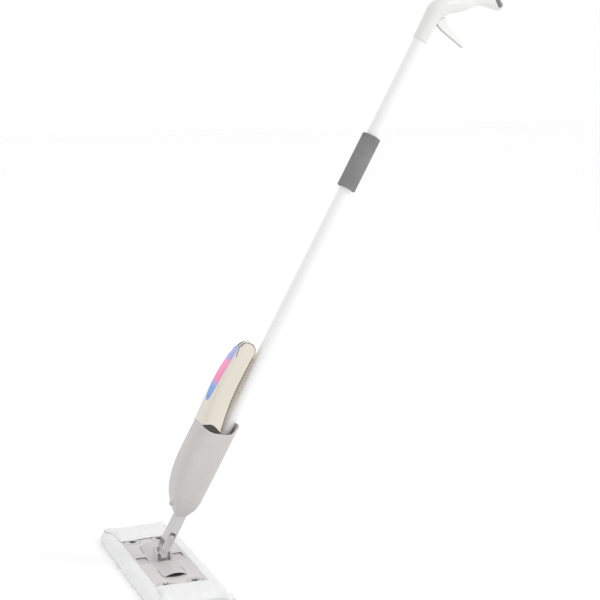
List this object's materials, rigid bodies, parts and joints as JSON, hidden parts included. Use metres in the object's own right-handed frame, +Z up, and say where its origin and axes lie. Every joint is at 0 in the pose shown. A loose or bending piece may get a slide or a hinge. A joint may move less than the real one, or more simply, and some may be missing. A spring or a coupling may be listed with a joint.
{
  "type": "flat spray mop",
  "caption": "Flat spray mop: fringed pad on a rigid plate, two-axis joint, bottle in a cup housing, leaning tube pole with foam grip and an angled trigger handle.",
  "frame": {"origin": "centre of the pad's sole, on the floor", "axes": "+X along the head's long direction, -Y towards the spraying side where the bottle is, +Z up; the pole leans back towards +Y by 28.9 degrees at rest"},
  "size_m": [0.402, 0.8105, 1.112],
  "materials": {
    "handle_grey": "fine satin moulding, light grey",
    "housing_grey": "fine satin moulding, light warm grey",
    "joint_grey": "satin moulding, mid grey",
    "plate_grey": "fine textured moulding, light grey",
    "trigger_white": "satin moulding, white",
    "tube_white": "smooth white powder coat on aluminium tube",
    "foam": "closed-cell foam sleeve, mid grey",
    "dark_rubber": "matt dark rubber",
    "gripper_rubber": "soft grey rubber",
    "steel": "plain steel",
    "inner_plastic": "plain moulding, hidden inside",
    "hose_silicone": "milky silicone hose",
    "clear_plastic": "clear blow-moulded plastic",
    "liquid": "cream-coloured cleaning liquid",
    "label_film": "printed film label, plain colour bands",
    "cap_white": "white ribbed screw cap",
    "pad_fabric": "white microfibre with a looped fringe"
  },
  "bodies": {
    "pole": {"handle_left": "handle_grey", "handle_right": "handle_grey", "handle_screws": "steel", "hang_slot_liner": "inner_plastic", "trigger_pin": "steel", "upper_tube": "tube_white", "lower_tube": "tube_white", "tube_coupler": "inner_plastic", "foam_grip": "foam", "rod_guides": "inner_plastic", "housing_front": "housing_grey", "housing_rear": "housing_grey", "housing_screws": "steel", "bottle_socket": "inner_plastic", "socket_seal": "dark_rubber", "feed_hose": "hose_silicone", "pump_cylinder": "inner_plastic", "pump_spring": "steel", "inlet_valve": "dark_rubber", "outlet_valve": "dark_rubber", "nozzle_hose": "hose_silicone", "spray_nozzle": "joint_grey", "neck": "housing_grey", "neck_pin": "steel", "hinge_fork": "joint_grey", "pitch_pin": "steel"},
    "trigger": {"trigger": "trigger_white"},
    "pump_rod": {"push_rod": "steel", "rod_head": "inner_plastic", "pump_piston": "inner_plastic", "piston_seal": "dark_rubber"},
    "bottle": {"bottle_shell": "clear_plastic", "bottle_liquid": "liquid", "bottle_label": "label_film"},
    "bottle_cap": {"bottle_cap": "cap_white", "cap_seal": "dark_rubber"},
    "knuckle": {"knuckle": "joint_grey"},
    "head": {"joint_base": "plate_grey", "roll_pin": "steel", "base_screws": "steel", "base_plate": "plate_grey", "gripper_1": "gripper_rubber", "gripper_2": "gripper_rubber", "gripper_3": "gripper_rubber", "gripper_4": "gripper_rubber", "pad_sole": "pad_fabric", "pad_fringe": "pad_fabric", "pad_flap_left": "pad_fabric", "pad_flap_right": "pad_fabric"}
  },
  "joints": [
    {"name": "trigger_pull", "type": "hinge", "parent": "pole", "child": "trigger", "pos_m": [0, 0.58277, 1.06116], "axis": [1, 0, 0], "range_deg": [0, 25], "stiffness_Nm_per_rad": 0.3, "springref_deg": -17.19},
    {"name": "rod_slide", "type": "slide", "parent": "pole", "child": "pump_rod", "axis": [0, -0.4833, -0.8755], "range_m": [0, 0.0055], "deforming": ["pump_spring"]},
    {"name": "bottle_lift", "type": "slide", "parent": "pole", "child": "bottle", "axis": [0, 0.4833, 0.8755], "range_m": [0, 0.145]},
    {"name": "cap_turn", "type": "hinge", "parent": "bottle", "child": "bottle_cap", "pos_m": [0, 0.04946, 0.18818], "axis": [0, 0.4833, 0.8755], "range_deg": [-540, 0]},
    {"name": "head_pitch", "type": "hinge", "parent": "pole", "child": "knuckle", "pos_m": [0, 0, 0.051], "axis": [1, 0, 0], "range_deg": [-70, 50]},
    {"name": "head_roll", "type": "hinge", "parent": "knuckle", "child": "head", "pos_m": [0, 0, 0.029], "axis": [0, 1, 0], "range_deg": [-45, 45]}
  ],
  "couplings": [
    {"joint": "rod_slide", "follows": "trigger_pull", "m_per_rad": 0.0126}
  ]
}
